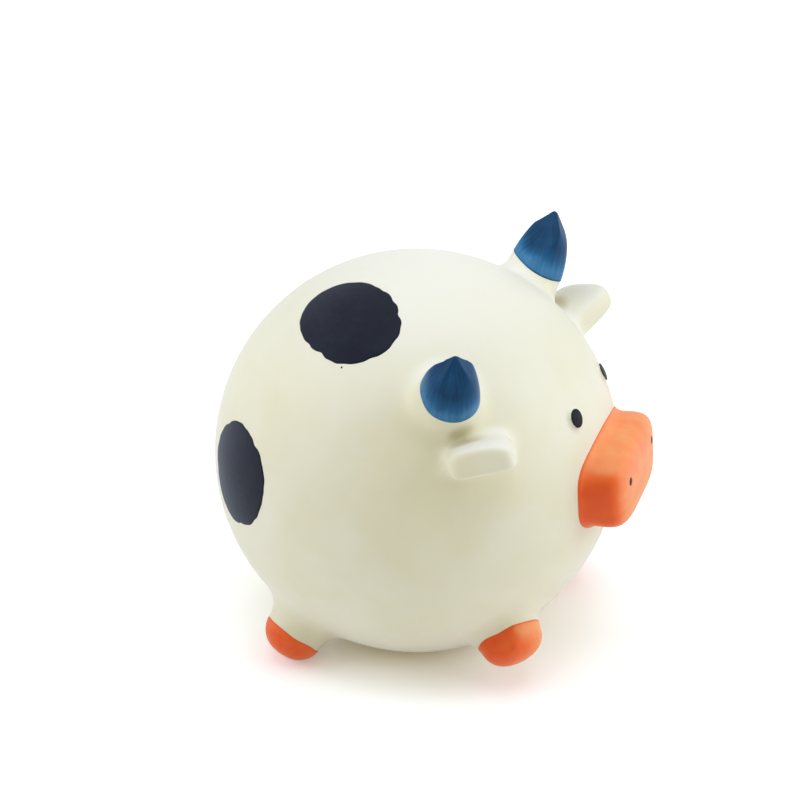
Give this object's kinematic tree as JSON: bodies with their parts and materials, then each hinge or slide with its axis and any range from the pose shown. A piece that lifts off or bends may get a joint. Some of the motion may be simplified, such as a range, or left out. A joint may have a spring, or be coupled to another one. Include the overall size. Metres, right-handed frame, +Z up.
{
  "type": "squeaky dog toy",
  "caption": "Hollow latex squeaky toy: a round cow with stub legs, paddle ears, painted horns, muzzle and hooves, fibre-filled, with a reed squeaker in its belly.",
  "frame": {"origin": "on the floor below the middle of the toy's length, at the bottom centre of its bounding box", "axes": "+Z up, nose towards -Y, the toy's left side towards +X"},
  "size_m": [0.07, 0.0754, 0.0675],
  "materials": {
    "cream_latex": "matte",
    "orange_paint": "satin",
    "blue_paint": "satin",
    "black_paint": "satin",
    "brown_paint": "satin",
    "navy_paint": "satin",
    "polyester_fibre": "matte",
    "white_plastic": "satin",
    "natural_plastic": "satin",
    "clear_plastic": "satin",
    "reed_film": "gloss"
  },
  "bodies": {
    "toy": {"latex_skin": "cream_latex", "muzzle_paint": "orange_paint", "front_left_hoof_paint": "orange_paint", "front_right_hoof_paint": "orange_paint", "rear_left_hoof_paint": "orange_paint", "rear_right_hoof_paint": "orange_paint", "left_horn_paint": "blue_paint", "right_horn_paint": "blue_paint", "left_eye_paint": "black_paint", "right_eye_paint": "black_paint", "left_nostril_paint": "brown_paint", "right_nostril_paint": "brown_paint", "back_patch": "navy_paint", "right_rump_patch": "navy_paint", "left_flank_patch": "navy_paint", "left_haunch_patch": "navy_paint", "fibre_filling": "polyester_fibre", "squeaker_housing": "white_plastic", "fibre_guard": "natural_plastic", "reed_block": "natural_plastic", "reed_sleeve": "clear_plastic"},
    "reed": {"reed": "reed_film"}
  },
  "joints": [
    {"name": "reed_flutter", "type": "hinge", "parent": "toy", "child": "reed", "pos_m": [0.00045, 0.00268, 0.0056], "axis": [0, 1, 0], "range_deg": [-3, 3], "stiffness_Nm_per_rad": 0.0006}
  ]
}
